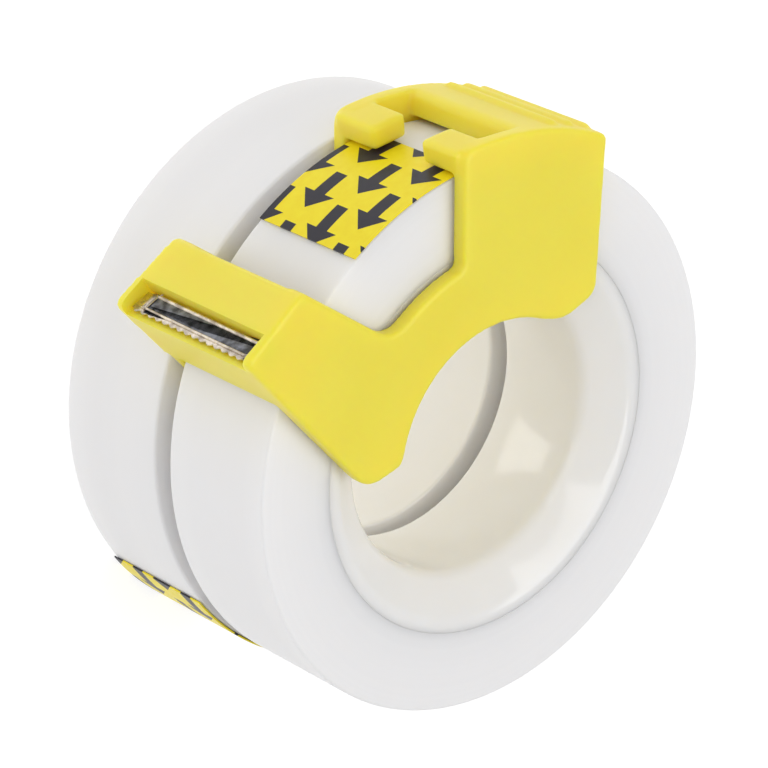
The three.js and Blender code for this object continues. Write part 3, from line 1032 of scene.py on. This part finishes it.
@dataclass(frozen=True)
class Studio:
    """Pale floor, soft light and the camera, placed round the rolls' axis in millimetres."""

    axis: Vector
    camera_place: tuple[float, float, float] = (-296.6, 198.2, 363.2)
    camera_right: tuple[float, float, float] = (0.7578, 0.0, 0.6525)
    camera_up: tuple[float, float, float] = (0.2601, 0.9171, -0.3021)
    lens: float = 181.2
    sensor: float = 36.0
    floor_size: float = 6.0
    floor_colour: Colour = (0.35, 0.35, 0.35, 1)
    floor_glow: float = 0.78
    sky: float = 0.5
    bore_lamp_place: tuple[float, float, float] = (-6.4, 3.6, 5)
    bore_lamp_size: tuple[float, float] = (0.014, 0.0095)
    bore_lamp_turn: float = -27
    bore_lamp_power: float = 0.0011

    def _turned(self, right: Vector, up: Vector, place: Vector) -> Matrix:
        """Matrix of a camera or light from its right and up directions and its place."""
        back = right.cross(up)
        matrix = Matrix((right, up, back)).transposed().to_4x4()
        matrix.translation = place * MILLIMETRE + Vector((self.axis.x, self.axis.y, 0))
        return matrix

    def camera(self) -> None:
        """Adds the camera."""
        data = bpy.data.cameras.new("studio_camera")
        data.lens, data.sensor_width, data.clip_start, data.clip_end = self.lens, self.sensor, 0.01, 20
        camera = bpy.data.objects.new("studio_camera", data)
        bpy.context.scene.collection.objects.link(camera)
        right, up = Vector(self.camera_right).normalized(), Vector(self.camera_up).normalized()
        camera.matrix_world = self._turned(right, up, Vector(self.camera_place))
        bpy.context.scene.camera = camera

    def floor(self) -> None:
        """Adds the pale floor, which glows a little, as a light table does."""
        Workbench.clear()
        bpy.ops.mesh.primitive_plane_add(size=self.floor_size, location=(0, 0, 0))
        floor = bpy.context.active_object
        floor.name = "studio_floor"
        sheet = NodeSheet("studio_floor")
        tone = sheet.noise(sheet.place(), 3, 2)
        sheet.set(
            Base_Color=sheet.blend(sheet.spread(tone, 0, 0.2), self.floor_colour, (0.33, 0.33, 0.33, 1)),
            Roughness=0.9,
            Emission_Color=(1, 1, 1, 1),
            Emission_Strength=self.floor_glow,
        )
        floor.data.materials.append(sheet.material)

    def lamp(self, name: str, place: tuple[float, float, float], size: float, power: float) -> None:
        """Adds a soft box that faces the rolls."""
        data = bpy.data.lights.new(name, "AREA")
        data.shape, data.size, data.energy = "SQUARE", size, power
        lamp = bpy.data.objects.new(name, data)
        bpy.context.scene.collection.objects.link(lamp)
        lamp.location = Vector(place) * MILLIMETRE + Vector((self.axis.x, self.axis.y, 0))
        aim = Vector((self.axis.x, self.axis.y, 0.025)) - lamp.location
        lamp.rotation_euler = aim.to_track_quat("-Z", "Y").to_euler()

    def bore_lamp(self) -> None:
        """Adds a small lamp in the bore, hidden from the camera, that the core's wall reflects."""
        data = bpy.data.lights.new("bore_window", "AREA")
        data.shape, data.energy = "RECTANGLE", self.bore_lamp_power
        data.size, data.size_y = self.bore_lamp_size
        lamp = bpy.data.objects.new("bore_window", data)
        bpy.context.scene.collection.objects.link(lamp)
        lamp.location = Vector(self.bore_lamp_place) * MILLIMETRE + self.axis
        lamp.rotation_euler = (math.pi, 0, math.radians(self.bore_lamp_turn))
        lamp.visible_camera = False

    def light(self) -> None:
        """Sets the even surround light and the soft boxes."""
        scene = bpy.context.scene
        world = bpy.data.worlds.new("studio_surround")
        world.use_nodes = True
        background = world.node_tree.nodes["Background"]
        background.inputs["Color"].default_value = (1, 1, 1, 1)
        background.inputs["Strength"].default_value = self.sky
        scene.world = world
        scene.view_settings.view_transform = "Standard"
        self.lamp("top_softbox", (150, 60, 800), 0.6, 2.6)
        self.lamp("front_softbox", (-434, 287, 462), 0.5, 0.6)
        self.bore_lamp()

    def build(self) -> None:
        """Adds everything of the studio."""
        self.camera()
        self.floor()
        self.light()


# ---------------------------------------------------------------- assembly


def finish(
    piece: bpy.types.Object,
    axis: Vector,
    material: bpy.types.Material,
    body: Body,
    node: str,
    angle: float = 32,
) -> None:
    """Sets a finished piece in the frame, on its body, with its material.

    Args:
        piece: the piece, in millimetres round the rolls' axis.
        axis: place of the rolls' axis in the frame, in metres.
        material: its finish.
        body: the body that it moves with.
        node: the CAD node that it stands for.
        angle: sharpest edge, in degrees, that is shaded smooth.
    """
    Workbench.set_in_frame(piece, axis)
    piece.data.materials.clear()
    piece.data.materials.append(material)
    Workbench.smooth(piece, angle)
    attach(piece, body.value)
    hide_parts(node)
    log.info("%s: %d faces, on %s", piece.name, len(piece.data.polygons), body.value)


def main() -> None:
    """Builds the studio, both rolls, the clip and the blade."""
    logging.basicConfig(level=logging.INFO, format="%(name)s %(message)s")
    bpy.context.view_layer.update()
    low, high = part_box("wound_tape")
    axis = Vector(((low.x + high.x) / 2, (low.y + high.y) / 2, 0))
    Studio(axis).build()

    film, core = WoundFilm((axis.x, axis.y)).make(), GlossMoulding().make()
    tab = ArrowPrint(TapeRoll.map_name).make()
    TapeRoll("", Body.ROLL, low.z / MILLIMETRE, FRONT_TAB_START, axis).build(film, core, tab)
    spare = TapeRoll("spare_", Body.SPARE, 0, SPARE_TAB_START, axis, turned_over=True)
    spare.build(film, core, tab)

    clip = DispenserClip(axis)
    clip.build(SatinMoulding().make())
    bright = PressedSteel(
        "bright_pressed_steel", (0.78, 0.7, 0.6, 1), (0.42, 0.36, 0.3, 1), (0.2, 0.32))
    # The tray floor's steel is near black with mottled tones: painted reflection of dark surroundings, not
    # the steel's own colour
    dark = PressedSteel(
        "steel_painted_dark_reflection", (0.24, 0.25, 0.3, 1), (0.08, 0.08, 0.09, 1), (0.38, 0.55))
    CutterBlade(clip).build(bright.make(), dark.make())


if __name__ == "__main__":
    main()
